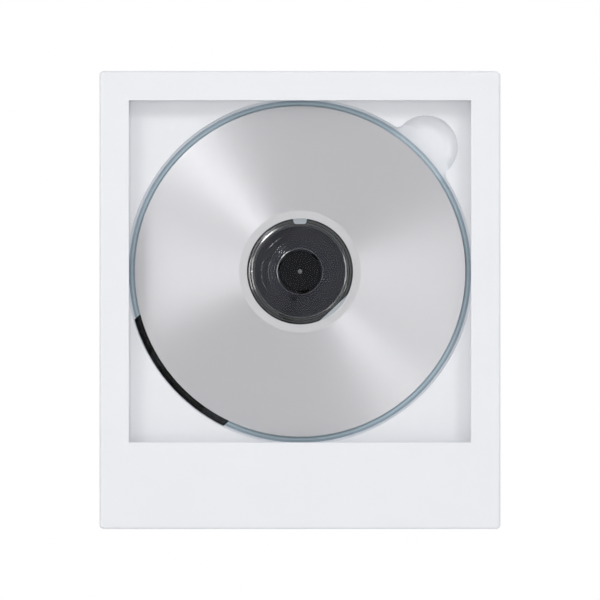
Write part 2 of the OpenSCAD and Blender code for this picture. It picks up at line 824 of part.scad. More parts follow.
// Parts on the main board: processor, memory, amplifier by the audio jack, charger by the USB port,
// coils, capacitors and the socket for the pickup's cable
module board_components() color("#25272b") upright() {
    mid_x = main_x + main_w / 2;
    field_y = main_y + jack_l + chip_field / 2;
    top_y = main_y + main_h - socket_h;
    chip(mid_x - processor_w, field_y, processor_w, processor_w);
    chip(mid_x + memory_w, field_y, memory_w, memory_h);
    chip(jack_x, field_y + 2 * small_chip_y, small_chip_w, small_chip_w);
    chip(usb_x, field_y + 2 * small_chip_y, small_chip_w, small_chip_w);
    chip(mid_x + socket_w, top_y, socket_w, socket_h, coil_h);
    for (i = [0 : coil_count - 1])
        translate([main_x + main_w - 2 * board_screw_x, field_y + (i - 1) * coil_pitch, port_z])
            cylinder(r = coil_r, h = coil_h);
    for (i = [0 : capacitor_count - 1])
        chip(main_x + 2 * board_screw_x + i * capacitor_pitch, top_y, capacitor_w, capacitor_h);
}

module board_screws() color("silver") upright()
    for (p = board_screw_pts) translate([p[0], p[1], port_z + fit]) mirror([0, 0, 1])
        screw(board_screw_head_r, board_screw_head_t, screw_shank_r, board_t + main_z - inside_z);

module usb_c_port() color("silver") upright()
    translate([usb_x, body_bottom + usb_in, port_z + usb_h / 2 + fit]) rotate([-90, 0, 0]) {
        difference() {
            linear_extrude(usb_l) rounded_rect(usb_w, usb_h, usb_h / 2 - fit);
            translate([0, 0, -cut]) linear_extrude(usb_l + cut - usb_back)
                rounded_rect(usb_w - 2 * usb_shell, usb_h - 2 * usb_shell, usb_h / 2 - usb_shell - fit);
        }
        translate([-usb_tongue_w / 2, -usb_tongue_t / 2, usb_tongue_in])
            cube([usb_tongue_w, usb_tongue_t, usb_l - usb_back]);
    }

module audio_jack() color("#2b2b2b") upright() difference() {
    union() {
        box([jack_x - jack_w / 2, body_bottom + wall + gap, port_z + fit],
            [jack_x + jack_w / 2, body_bottom + jack_l, port_z + jack_w]);
        y_cylinder(jack_nose_r, jack_x, jack_z, body_bottom + wall + gap - jack_nose_l,
            body_bottom + wall + gap + cut);
    }
    y_cylinder(jack_r, jack_x, jack_z, body_bottom - cut, body_bottom + jack_l - jack_end);
}

module battery() color("slategray") upright() {
    translate([battery_x, battery_y, inside_z + fit])
        cube([battery_l, battery_h, battery_t]);
    translate([battery_x + battery_l, battery_y + cell_end_in, inside_z + cell_end_low])
        cube([cell_end_t, battery_h - 2 * cell_end_in, battery_t - 2 * cell_end_low]);
}

module button_board() color("seagreen") upright()
    box([button_xs[0] - button_board_side, board_y, button_z - button_board_half],
        [half_w - wall - button_board_in, board_y + board_t, button_z + button_board_half]);

module tact_switches() color("#303338") upright() for (x = button_xs) difference() {
    box([x - switch_w / 2, board_y + board_t + fit, button_z - switch_w / 2],
        [x + switch_w / 2, switch_top, button_z + switch_w / 2]);
    y_cylinder(stem_r + run, x, button_z, switch_top - switch_bore, switch_top + cut);
}

module cover_sensor() color("#303338") upright()
    box([magnet_x - sensor_w, board_y + board_t + fit, button_z],
        [magnet_x, board_y + board_t + sensor_t, button_z + sensor_w]);

module front_cover() color("white") upright() {
    difference() {
        union() {
            difference() {
                hull() {
                    body_slab(cover_z, cover_d - edge_r);
                    for (a = [15 : 15 : 90])
                        body_slab(body_d - edge_r, edge_r * sin(a), edge_r * (1 - cos(a)));
                }
                translate([0, body_mid, cover_z - cut]) linear_extrude(panel_z - cover_z + cut)
                    rounded_rect(body_w - 2 * skirt_t, body_h - 2 * skirt_t, cover_inner_r);
            }
            translate([0, axis_y, cover_z + rim_back]) linear_extrude(panel_z - cover_z - rim_back + fit)
                rounded_rect(2 * (rim_in + rim_t), 2 * (rim_in + rim_t), inner_r);
            for (y = magnet_ys)
                box([rim_in + fit, y - magnet_r - magnet_floor, pane_z - magnet_t - gap],
                    [half_w - skirt_t + fit, y + magnet_r + magnet_floor, panel_z + fit]);
            for (y = lug_ys) hinge_knuckles(y);
            cover_ribs();
        }
        translate([0, axis_y, cover_z - cut]) linear_extrude(panel_z - cover_z + cut)
            rounded_rect(2 * rim_in, 2 * rim_in, pane_r);
        translate([-window / 2, axis_y - window / 2, cover_z]) cube([window, window, body_d]);
        for (y = magnet_ys) translate([magnet_x, y, cover_z - cut])
            cylinder(r = magnet_r + fit, h = pane_z - cover_z + cut);
        difference() {
            box([-half_w - cut, body_bottom - cut, cover_z - cut], [hinge_x, body_top + cut, hinge_z]);
            y_cylinder(hinge_z - cover_z, hinge_x, hinge_z, body_bottom - 2 * cut, body_top + 2 * cut);
        }
        for (y = lug_ys) {
            box([-half_w - cut, y - gap, cover_z - cut],
                [hinge_x + knuckle_r, y + lug_l + gap, hinge_z + barrel_r + gap]);
            y_cylinder(hinge_pin_r + run, hinge_x, hinge_z,
                y - knuckle_l - cut, y + lug_l + knuckle_l + cut);
        }
    }
}

// The knuckles below and above the hinge lug that starts at y
module hinge_knuckles(y) for (side = [y - gap - knuckle_l, y + lug_l + gap])
    box([-half_w + skirt_t - fit, side, hinge_z - barrel_r],
        [hinge_x + knuckle_r, side + knuckle_l, panel_z + fit]);

// Ribs that stiffen the cover's lower border
module cover_ribs() for (i = [0 : cover_rib_count - 1])
    translate([(i - (cover_rib_count - 1) / 2) * cover_rib_pitch, 0, 0])
        box([-cover_rib_t / 2, body_bottom + skirt_t - fit, panel_z - cover_rib_h],
            [cover_rib_t / 2, axis_y - rim_in - rim_t + fit, panel_z + fit]);

module cover_window() color("azure", 0.3) upright()
    translate([0, axis_y, pane_z]) linear_extrude(pane_t - fit)
        rounded_rect(2 * pane_half, 2 * pane_half, pane_r);

module cover_magnets() color("silver") upright()
    for (y = magnet_ys) translate([magnet_x, y, pane_z - magnet_t]) cylinder(r = magnet_r, h = magnet_t);

module turntable() color("#18191b") upright() on_axis() difference() {
    union() {
        translate([0, 0, table_z]) cylinder(r = table_r, h = table_top - table_z);
        translate([0, 0, table_z]) cylinder(r = mat_in_r - run, h = disc_z - table_z);
        translate([0, 0, table_z]) cylinder(r = hub_r, h = hub_top - hub_chamfer - table_z);
        translate([0, 0, hub_top - hub_chamfer - fit])
            cylinder(r1 = hub_r, r2 = hub_r - hub_chamfer, h = hub_chamfer + fit);
        translate([0, 0, mech_top + boss_out + boss_gap]) cylinder(r = boss_r, h = table_z - mech_top);
    }
    translate([0, 0, mech_z]) cylinder(r = shaft_r + fit, h = body_d);
    for (a = claw_angles) rotate(a) box([claw_in - claw_room, -claw_w / 2 - run, claw_z - run],
        [hub_r + cut, claw_w / 2 + run, claw_z + claw_h + run]);
    for (a = claw_angles) rotate(a + 60) translate([hub_hole_reach, 0, hub_top - hub_hole_depth])
        cylinder(r = hub_hole_r, h = hub_hole_depth + cut);
    translate([0, 0, hub_top - hub_groove_depth])
        ring(hub_groove_r, hub_groove_r - hub_groove_w, hub_groove_depth + cut);
}

module turntable_mat() color("#101010") upright() on_axis()
    translate([0, 0, table_top + fit]) ring(mat_out_r, mat_in_r, mat_t - fit);

module spindle_shaft() color("silver") upright() on_axis()
    translate([0, 0, motor_z + motor_floor + gap])
        cylinder(r = shaft_r, h = hub_top - motor_z - motor_floor - 2 * gap);

module compact_disc() color("lightcyan", 0.5) upright() on_axis() translate([0, 0, disc_z]) difference() {
    ring(disc_r, disc_bore_r, disc_t);
    translate([0, 0, disc_t - metal_t]) ring(metal_out_r, metal_in_r, metal_t + cut);
    translate([0, 0, disc_t - stack_groove_depth])
        ring(stack_groove_r, stack_groove_r - stack_groove_w, stack_groove_depth + cut);
}

module disc_metal_layer() color("lightgray") upright() on_axis()
    translate([0, 0, deck_z - metal_t + fit]) ring(metal_out_r - fit, metal_in_r + fit, metal_t - fit);

// One claw, which holds the disc down by its edge at the hub
module hub_claw(i) color("#1c1d1f") upright() on_axis() rotate(claw_angles[i])
    translate([0, claw_w / 2, claw_z]) rotate([90, 0, 0]) linear_extrude(claw_w)
        polygon([[claw_in, 0], [claw_reach - claw_lead, 0], [claw_reach, claw_step],
            [claw_reach - claw_nose, 2 * claw_step], [hub_r - claw_step, claw_h], [claw_in, claw_h]]);

module hub_claw_1() hub_claw(0);

module hub_claw_2() hub_claw(1);

module hub_claw_3() hub_claw(2);

// Puts a piece of the pickup at its rest place, with the lens at the origin
module at_lens() upright() along_travel() translate([lens_in, 0, 0]) children();

module pickup_carriage() color("#2a2c30") at_lens() difference() {
    union() {
        box([-carriage_in, -carriage_half, carriage_z], [carriage_out, carriage_half, carriage_top]);
        for (y = [-rod_off, rod_off]) translate([-carriage_in, y, rod_z]) rotate([0, 90, 0])
            cylinder(r = bearing_r, h = carriage_in + carriage_out);
        box([-carriage_in, -rod_off, rod_z - carriage_web], [carriage_out, rod_off, rod_z + carriage_web]);
        box([-carriage_arm_w / 2, carriage_half, rack_z],
            [carriage_arm_w / 2, rack_pitch_y - rack_back, rack_z + rack_h]);
    }
    for (y = [-rod_off, rod_off]) translate([-carriage_in - cut, y, rod_z]) rotate([0, 90, 0])
        cylinder(r = rod_r + run, h = carriage_in + carriage_out + 2 * cut);
    box([-pocket_in, -pocket_half, pocket_z], [pocket_out, pocket_half, body_d]);
}

module pickup_rack() color("ivory") at_lens() {
    pitch = PI * gear_m;
    first = ceil((gear_x - lens_in - pickup_travel - rack_spare) / pitch);
    last = floor((gear_x - lens_in + rack_spare) / pitch);
    phase = (gear_x - lens_in) - pitch * floor((gear_x - lens_in) / pitch);
    half = pitch / 4 - backlash / 2;
    slope = tan(pressure_angle);
    x0 = phase + (first - 0.5) * pitch;
    x1 = phase + (last + 0.5) * pitch;
    translate([0, rack_pitch_y, rack_z]) linear_extrude(rack_h) polygon(concat(
        [[x0, -rack_back], [x0, -dedendum]],
        [for (k = [first : last]) let (x = phase + k * pitch) each [
            [x - half - dedendum * slope, -dedendum], [x - half + addendum * slope, addendum],
            [x + half - addendum * slope, addendum], [x + half + dedendum * slope, -dedendum]]],
        [[x1, -dedendum], [x1, -rack_back]]));
}

module lens_cover() color("#151618") at_lens() translate([0, 0, carriage_top]) difference() {
    translate([-cover_plate_in, 0, 0]) linear_extrude(cover_plate_t)
        rounded_rect(cover_plate_l, cover_plate_w, cover_plate_r);
    translate([0, 0, -cut]) cylinder(r = lens_ring_r + lens_gap, h = cover_plate_t + 2 * cut);
}

module objective_lens() color("lightblue") at_lens() {
    translate([0, 0, pocket_z + fit]) ring(lens_ring_r, lens_r - lens_gap, lens_z - lens_cap - pocket_z);
    intersection() {
        translate([0, 0, lens_z - lens_curve_r]) sphere(lens_curve_r, $fn = lens_sides);
        translate([0, 0, lens_z - lens_cap + fit]) cylinder(r = lens_r, h = lens_cap);
    }
}

module drive_gear() color("ivory") upright() along_travel() translate([gear_x, gear_y, 0]) difference() {
    union() {
        translate([0, 0, wheel_z]) rotate(motor_dir) linear_extrude(wheel_t) gear_outline(wheel_teeth);
        translate([0, 0, wheel_z + wheel_t - fit]) rotate(-90 + 180 / pinion_teeth)
            linear_extrude(rack_z + rack_h - wheel_z - wheel_t) gear_outline(pinion_teeth);
    }
    translate([0, 0, wheel_z - cut]) cylinder(r = axle_r + run, h = body_d);
}

module motor_pinion() color("ivory") upright() along_travel() translate([sled_c[0], sled_c[1], 0]) {
    translate([0, 0, wheel_z - gap]) rotate(motor_dir + 180 + 180 / motor_teeth)
        linear_extrude(wheel_t + 2 * gap) gear_outline(motor_teeth);
    translate([0, 0, wheel_z]) cylinder(r = sled_shaft_r, h = sled_motor_z + sled_bore - gap - wheel_z);
}

// One button with its flange and the stem that presses the switch
module button(i) color("whitesmoke") upright() if (i < button_count) {
    x = button_xs[i];
    y_cylinder(button_r, x, button_z, flange_y - button_flange_t, body_top + button_proud);
    y_cylinder(button_flange_r, x, button_z, flange_y - button_flange_t, flange_y);
    y_cylinder(stem_r, x, button_z, stem_end, flange_y - button_flange_t + fit);
}

module button_power() button(0);

module button_mode() button(1);

module button_previous() button(2);

module button_play() button(3);

module button_next() button(4);

module button_volume_down() button(5);

module button_volume_up() button(6);

wall_bracket();
rear_housing();
deck_plate();
hinge_pins();
deck_magnets();
housing_screws();
wall_pads();
mechanism_deck();
spindle_motor();
sled_motor();
guide_rod_upper();
guide_rod_lower();
damper_grommets();
mechanism_screws();
gear_axle();
main_board();
board_components();
board_screws();
usb_c_port();
audio_jack();
battery();
button_board();
tact_switches();
cover_sensor();
front_cover();
cover_window();
cover_magnets();
turntable();
turntable_mat();
spindle_shaft();
compact_disc();
disc_metal_layer();
hub_claw_1();
hub_claw_2();
hub_claw_3();
pickup_carriage();
pickup_rack();
lens_cover();
objective_lens();
drive_gear();
motor_pinion();
button_power();
button_mode();
button_previous();
button_play();
button_next();
button_volume_down();
button_volume_up();
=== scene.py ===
"""Wall mounted disc player: finishes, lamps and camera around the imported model.

Two pieces are made here. One is the disc's clear body with its moulded ridges, which stands for the
plain CAD disc. The other is the hollow curve round the foot of the finger scoop's wall."""

import math

import bmesh
import bpy
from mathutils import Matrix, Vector


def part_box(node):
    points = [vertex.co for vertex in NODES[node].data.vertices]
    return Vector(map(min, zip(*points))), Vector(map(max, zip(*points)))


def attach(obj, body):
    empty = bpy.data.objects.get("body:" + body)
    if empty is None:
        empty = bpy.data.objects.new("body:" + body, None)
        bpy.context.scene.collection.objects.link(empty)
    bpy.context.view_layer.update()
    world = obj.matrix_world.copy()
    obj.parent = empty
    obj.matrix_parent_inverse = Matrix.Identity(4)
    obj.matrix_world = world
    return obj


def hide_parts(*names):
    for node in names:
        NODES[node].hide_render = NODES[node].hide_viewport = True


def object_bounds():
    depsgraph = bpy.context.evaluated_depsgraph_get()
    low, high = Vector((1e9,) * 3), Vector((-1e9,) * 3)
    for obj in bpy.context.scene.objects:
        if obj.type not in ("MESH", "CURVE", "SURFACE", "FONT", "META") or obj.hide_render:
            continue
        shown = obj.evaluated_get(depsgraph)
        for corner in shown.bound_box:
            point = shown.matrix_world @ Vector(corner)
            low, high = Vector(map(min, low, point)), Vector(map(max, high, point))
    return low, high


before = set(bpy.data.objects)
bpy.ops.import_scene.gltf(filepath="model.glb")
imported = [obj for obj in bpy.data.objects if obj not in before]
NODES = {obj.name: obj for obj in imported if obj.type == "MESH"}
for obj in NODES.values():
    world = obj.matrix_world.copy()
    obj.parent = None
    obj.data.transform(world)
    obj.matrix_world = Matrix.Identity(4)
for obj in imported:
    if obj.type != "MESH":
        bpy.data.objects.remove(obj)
cad_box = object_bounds()
MM = 0.001

# Places on the object, from the frame, in metres
DISC_LOW, DISC_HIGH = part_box("compact_disc")
AXIS = (DISC_LOW + DISC_HIGH) / 2
DISC_R = (DISC_HIGH.x - DISC_LOW.x) / 2
METAL_LOW, METAL_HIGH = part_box("disc_metal_layer")
METAL_R = (METAL_HIGH.x - METAL_LOW.x) / 2
COVER_LOW, COVER_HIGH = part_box("front_cover")
FRONT = COVER_LOW.y
BODY_MID = Vector((0, FRONT, (COVER_LOW.z + COVER_HIGH.z) / 2))

# Camera: square on to the front, far enough for a nearly parallel view. The scale is the photograph's,
# at the front cover.
CAMERA_DISTANCE = 1.5
SENSOR_MM = 36
PICTURE_PX = 600
PX_PER_MM = 2.865

# Light that diffuse surfaces get from all round
AMBIENT = 0.42
AMBIENT_COLOUR = (0.98, 0.99, 1, 1)
WHITE = (1, 1, 1, 1)
# Lamps: direction from the disc, power in watts and diameter in metres. They light surfaces and show
# in gloss unless their row says otherwise. Key and fill lie on the front's diagonal, the corner lamp
# lights the recess from the upper right, the front one straight on, and the back one lights the rear.
LAMP_DISTANCE = 1.3
LAMPS = {
    "key": {"direction": (-0.74, -1, 0.85), "power": 2.6, "diameter": 0.45},
    "key_glint": {"direction": (-0.72, -1, 0.8), "power": 2.2, "diameter": 0.26, "lights": False},
    "fill": {"direction": (0.95, -1, -0.57), "power": 1.6, "diameter": 0.6},
    "corner": {"direction": (0.7, -1, 0.75), "power": 2.4, "diameter": 0.35, "shows": False},
    "front": {"direction": (-0.03, -1, 0.03), "power": 3.4, "diameter": 0.3, "shows": False},
    "back": {"direction": (0.4, 1, 0.6), "power": 7.0, "diameter": 0.6},
    "key_reflector": {"direction": (-0.85, -1, 0.66), "power": 2.8, "diameter": 1.0, "lights": False},
    "fill_reflector": {"direction": (0.8, -1, -0.72), "power": 3.3, "diameter": 0.8, "lights": False},
    "left_reflector": {"direction": (-1.3, -1, -0.08), "power": 7.5, "diameter": 0.8, "lights": False},
}

# Floor: half its side, its depth below the player, and the light that it gives off to the camera
# besides what falls on it
FLOOR_HALF = 1.6
FLOOR_DROP = 0.3
FLOOR_GLOW = 0.42

# Where one finish gives way to another: the radius of the disc's plain metal band, the radius of the
# turntable's hub, and how far from the wall the black painted shade on the housing's floor starts
BAND_R = 21.4 * MM
HUB_R = 7.35 * MM
PAINTED_SHADE_START = 2.3 * MM

# Edges of the CAD nodes: the angle from which an edge is sharp, the angle up to which neighbouring
# faces count as one flat face, the steps of a rounded edge, and how near points are joined into one
SHARP = math.radians(36)
FLAT = math.radians(0.4)
ROUND_STEPS = 2
WELD_REACH = 0.001 * MM

# The clear disc, in millimetres: its chamfers, its bore, and the seat of the metal layer in its front
DISC_T = (DISC_HIGH.y - DISC_LOW.y) / MM
RIM_R = DISC_R / MM
RIM_CHAMFER = 0.2
BORE_R = 7.5
BORE_CHAMFER_W = 0.27
BORE_CHAMFER_T = 0.15
BACK_CHAMFER = 0.1
METAL_IN_R = 18.6
SEAT_T = 0.1
DISC_STEPS = 240
# Its moulded ridges: radius, height over the front, and finish of the face that starts there. The land
# ridges are alike, so their radii are listed apart from their shape.
BORE_RIDGE = [(7.9, 0, "ridge"), (7.93, 0.13, "ridge"), (8.2, 0, "disc_clear")]
LAND_RIDGE_RADII = [8.85, 9.85, 10.95, 13.4]
LAND_RIDGE = [(0, 0, "ridge"), (0.02, 0.09, "faint_ridge"), (0.22, 0, "disc_clear")]
STACKING_RIDGE = [(15.95, 0, "ridge"), (16.4, 0.26, "disc_clear"), (16.65, 0.26, "ridge"),
                  (17.15, 0.04, "disc_clear"), (17.5, 0.04, "disc_clear"), (17.52, 0.26, "ridge"),
                  (18.0, 0, "disc_clear")]
# The light that its body lets through, by radius, with painted reflections of its edge near the rim
DISC_TINTS_AND_REFLECTIONS = [(30, (0.95, 0.975, 0.985)), (50, (0.79, 0.84, 0.875)), (58.4, (0.79, 0.84, 0.875)),
              (58.7, (0.93, 0.98, 0.99)), (59.1, (0.93, 0.98, 0.99)), (59.4, (0.77, 0.82, 0.86))]

# Finger scoop, in millimetres: its centre from the disc's axis, its radius, and how far its floor lies
# behind the disc's back
SCOOP_REACH = 62
SCOOP_ANGLE = math.radians(44.7)
SCOOP_R = 11.2
SCOOP_DEPTH = 3.5
# The hollow curve at its wall's foot: radius, the angle that it spans to either side, the angle over
# which it tapers, the share of its radius left at its ends, and how deep it sinks in wall and floor
COVE_R = 4.6
COVE_SPAN = math.radians(88)
COVE_TAPER = math.radians(26)
COVE_END = 0.06
COVE_STEPS = 96
COVE_SIDES = 10
SUNK = 0.02

# Sockets of a Mix node that mixes colours, which share their names with others
MIX_A = 6
MIX_B = 7
MIX_RESULT = 2
# The span that noise mostly keeps to
NOISE_LOW = 0.3
NOISE_HIGH = 0.7


class Graph:
    """The nodes of a material or a world. add() makes a node and sets or links its inputs by name
    or number."""

    def __init__(self, owner, output):
        self.owner = owner
        self.output = output
        owner.use_nodes = True
        self.tree = owner.node_tree
        self.tree.nodes.clear()

    def add(self, kind, inputs=None, **settings):
        node = self.tree.nodes.new("ShaderNode" + kind)
        for name, value in settings.items():
            setattr(node, name, value)
        for key, value in (inputs or {}).items():
            if isinstance(value, bpy.types.NodeSocket):
                self.tree.links.new(value, node.inputs[key])
            else:
                node.inputs[key].default_value = value
        return node

    def math(self, operation, a, b=0.0):
        return self.add("Math", {0: a, 1: b}, operation=operation).outputs[0]

    def mix_colours(self, factor, a, b):
        inputs = {"Factor": factor, MIX_A: a, MIX_B: b}
        return self.add("Mix", inputs, data_type="RGBA").outputs[MIX_RESULT]

    def mix_shaders(self, factor, a, b):
        return self.add("MixShader", {0: factor, 1: a, 2: b}).outputs[0]

    def principled(self, inputs):
        return self.add("BsdfPrincipled", inputs).outputs[0]

    def finish(self, shader):
        self.add(self.output, {"Surface": shader})
        return self.owner


class MaterialGraph(Graph):
    """A material's nodes. Its coordinates are the object's own, in metres."""

    def __init__(self, name):
        super().__init__(bpy.data.materials.new(name), "OutputMaterial")
        self.coords = self.add("TexCoord").outputs["Object"]

    def noise(self, scale, detail=2, vector=None):
        """Soft noise of a scale in cells per metre."""
        inputs = {"Scale": scale, "Detail": detail, "Vector": vector or self.coords}
        return self.add("TexNoise", inputs).outputs["Fac"]

    def spread(self, noise, low, high):
        """Stretches noise to the span from low to high."""
        inputs = {"Value": noise, "From Min": NOISE_LOW, "From Max": NOISE_HIGH,
                  "To Min": low, "To Max": high}
        return self.add("MapRange", inputs).outputs["Result"]

    def shade(self, factor, colour, low, high):
        """Varies a colour between low and high times itself."""
        return self.mix_colours(factor, scaled(colour, low), scaled(colour, high))

    def bump(self, height, strength, distance):
        inputs = {"Height": height, "Strength": strength, "Distance": distance}
        return self.add("Bump", inputs).outputs["Normal"]

    def place(self):
        """The X, Y and Z of a place on the object."""
        return self.add("SeparateXYZ", {0: self.coords}).outputs

    def axis_radius(self):
        """Distance from the disc's axis."""
        place = self.place()
        across = self.math("SUBTRACT", place["X"], AXIS.x)
        up = self.math("SUBTRACT", place["Z"], AXIS.z)
        squares = self.math("ADD", self.math("MULTIPLY", across, across), self.math("MULTIPLY", up, up))
        return self.math("SQRT", squares)


def scaled(colour, factor):
    return (*(min(1.0, c * factor) for c in colour), 1)


def moulded_shader(g, colour, rough, uneven=0.05, variation=0.015, gloss=0.5):
    """Injection moulded plastic: an even colour, a fine eroded grain and a slightly uneven sheen."""
    cloud = g.noise(scale=60, detail=3)
    sheen = g.noise(scale=240, detail=4)
    grain = g.noise(scale=4000)
    return g.principled({
        "Base Color": g.shade(cloud, colour, 1 - variation, 1 + variation),
        "Roughness": g.spread(sheen, rough - uneven, rough + uneven),
        "Specular IOR Level": gloss,
        "Normal": g.bump(grain, strength=0.12, distance=0.02 * MM),
    })


def moulded(name, colour, rough, **settings):
    g = MaterialGraph(name)
    return g.finish(moulded_shader(g, colour, rough, **settings))


def housing(name, colour, painted_shade_colour):
    """White shell whose floor behind the pickup is painted black, a painted shade for the dark inside seen
    through the slot.
    """
    g = MaterialGraph(name)
    shell = moulded_shader(g, colour, rough=0.5)
    # Painted shade: black that stands for the dark inside of the housing behind the pickup
    painted_shade = moulded_shader(g, painted_shade_colour, rough=0.6, variation=0.1, gloss=0.1)
    place = g.place()
    left = g.math("LESS_THAN", place["X"], AXIS.x)
    below = g.math("LESS_THAN", place["Z"], AXIS.z)
    inside = g.math("LESS_THAN", place["Y"], -PAINTED_SHADE_START)
    near = g.math("LESS_THAN", g.axis_radius(), DISC_R)
    # Painted shade where the floor lies left of and below the axis, off the wall and within the disc's
    # reach
    in_painted_shade = g.math("MULTIPLY", g.math("MULTIPLY", left, below), g.math("MULTIPLY", inside, near))
    return g.finish(g.mix_shaders(in_painted_shade, shell, painted_shade))


def metal(name, colour, rough, grain=0.4, stretch=(1, 1, 1), streak=0.08):
    """Metal with a worked surface: streaks along one axis change its roughness and its height. Its
    grain is in millimetres."""
    g = MaterialGraph(name)
    along = g.add("Mapping", {"Vector": g.coords, "Scale": stretch}).outputs[0]
    streaks = g.noise(scale=1 / (grain * MM), detail=4, vector=along)
    return g.finish(g.principled({
        "Base Color": g.shade(g.noise(scale=90, detail=3), colour, low=0.92, high=1.04),
        "Metallic": 1.0,
        "Roughness": g.spread(streaks, rough - streak, rough + streak),
        "Normal": g.bump(streaks, strength=0.1, distance=0.02 * MM),
    }))


def rubber(name, colour):
    """Dull rubber with a fine skin."""
    g = MaterialGraph(name)
    skin = g.noise(scale=3500, detail=3)
    return g.finish(g.principled({
        "Base Color": g.shade(g.noise(scale=200, detail=4), colour, low=0.8, high=1.25),
        "Roughness": g.spread(skin, low=0.7, high=0.92),
        "Sheen Weight": 0.15,
        "Normal": g.bump(skin, strength=0.3, distance=0.04 * MM),
    }))


def turntable(name, hub_colour, dish_colour):
    """A deep black polished hub in a dark grey dish."""
    g = MaterialGraph(name)
    hub = moulded_shader(g, hub_colour, rough=0.35, variation=0.1, gloss=0.06)
    dish = moulded_shader(g, dish_colour, rough=0.5, variation=0.06, gloss=0.25)
    outside = g.math("GREATER_THAN", g.axis_radius(), HUB_R)
    return g.finish(g.mix_shaders(outside, hub, dish))


def disc_metal(name, colour, band_colour, rough, uneven=0.01):
    """The disc's metal: its fine circular tracks spread light along the radius, and inside them
    lies a plain band without tracks."""
    g = MaterialGraph(name)
    radius = g.axis_radius()
    inputs = {"W": radius, "Scale": 2500, "Detail": 3}
    tracks = g.add("TexNoise", inputs, noise_dimensions="1D").outputs["Fac"]
    tracked = g.principled({
        "Base Color": g.shade(tracks, colour, low=0.985, high=1.015),
        "Metallic": 1.0,
        "Roughness": g.spread(tracks, rough - uneven, rough + uneven),
        "Anisotropic": 0.9,
        "Anisotropic Rotation": 0.25,
        "Tangent": g.add("Tangent", direction_type="RADIAL", axis="Y").outputs[0],
    })
    plain = g.principled({
        "Base Color": (*band_colour, 1),
        "Metallic": 0.9,
        "Roughness": g.spread(g.noise(scale=900), low=0.4, high=0.5),
    })
    outside = g.math("GREATER_THAN", radius, BAND_R)
    return g.finish(g.mix_shaders(outside, plain, tracked))


def clear_shader(g, colour, gloss_ior, rough=0.02, uneven=0.03, growth_power=5):
    """A clear part: a tinted see-through shader under a reflection that grows at grazing angles by
    Schlick's rule, which is the same on both sides of a face."""
    smudge = g.spread(g.noise(scale=45, detail=3), rough, rough + uneven)
    through = g.add("BsdfTransparent", {"Color": colour}).outputs[0]
    gloss = g.add("BsdfGlossy", {"Roughness": smudge}).outputs[0]
    straight_on = ((gloss_ior - 1) / (gloss_ior + 1)) ** 2
    facing = g.add("LayerWeight", {"Blend": 0.5}).outputs["Facing"]
    growth = g.math("MULTIPLY", g.math("POWER", facing, growth_power), 1 - straight_on)
    return g.mix_shaders(g.math("ADD", growth, straight_on), through, gloss)


def clear(name, colour, gloss_ior, **settings):
    g = MaterialGraph(name)
    return g.finish(clear_shader(g, (*colour, 1), gloss_ior, **settings))


def disc_clear(name, tints_and_reflections, gloss_ior):
    """The disc's clear body. Its colour follows the radius: clear round the centre, and deep at the
    rim, where light and dark lines are painted reflections of its edge."""
    g = MaterialGraph(name)
    share = g.add("MapRange", {"Value": g.axis_radius(), "From Max": DISC_R}).outputs["Result"]
    ramp = g.add("ValToRGB", {"Fac": share})
    stops = ramp.color_ramp.elements
    while len(stops) < len(tints_and_reflections):
        stops.new(1)
    # Stops near the rim hold painted reflections of the disc's edge
    for stop, (radius, stop_colour) in zip(stops, tints_and_reflections):
        stop.position = radius / RIM_R
        stop.color = (*stop_colour, 1)
    return g.finish(clear_shader(g, ramp.outputs["Color"], gloss_ior))


def circuit_board(name, pad_size=0.16):
    """Green solder mask with a pattern of traces and small bright pads."""
    g = MaterialGraph(name)
    inputs = {"Vector": g.coords, "Scale": 260, "Mortar Size": 0.012}
    traces = g.add("TexBrick", inputs).outputs["Fac"]
    dots = g.add("TexVoronoi", {"Vector": g.coords, "Scale": 420}).outputs["Distance"]
    pads = g.math("LESS_THAN", dots, pad_size)
    mask = g.mix_colours(traces, (0.02, 0.12, 0.05, 1), (0.03, 0.2, 0.09, 1))
    return g.finish(g.principled({
        "Base Color": g.mix_colours(pads, mask, (0.6, 0.48, 0.25, 1)),
        "Roughness": g.spread(g.noise(scale=300, detail=3), low=0.3, high=0.45),
        "Normal": g.bump(traces, strength=0.3, distance=0.03 * MM),
    }))


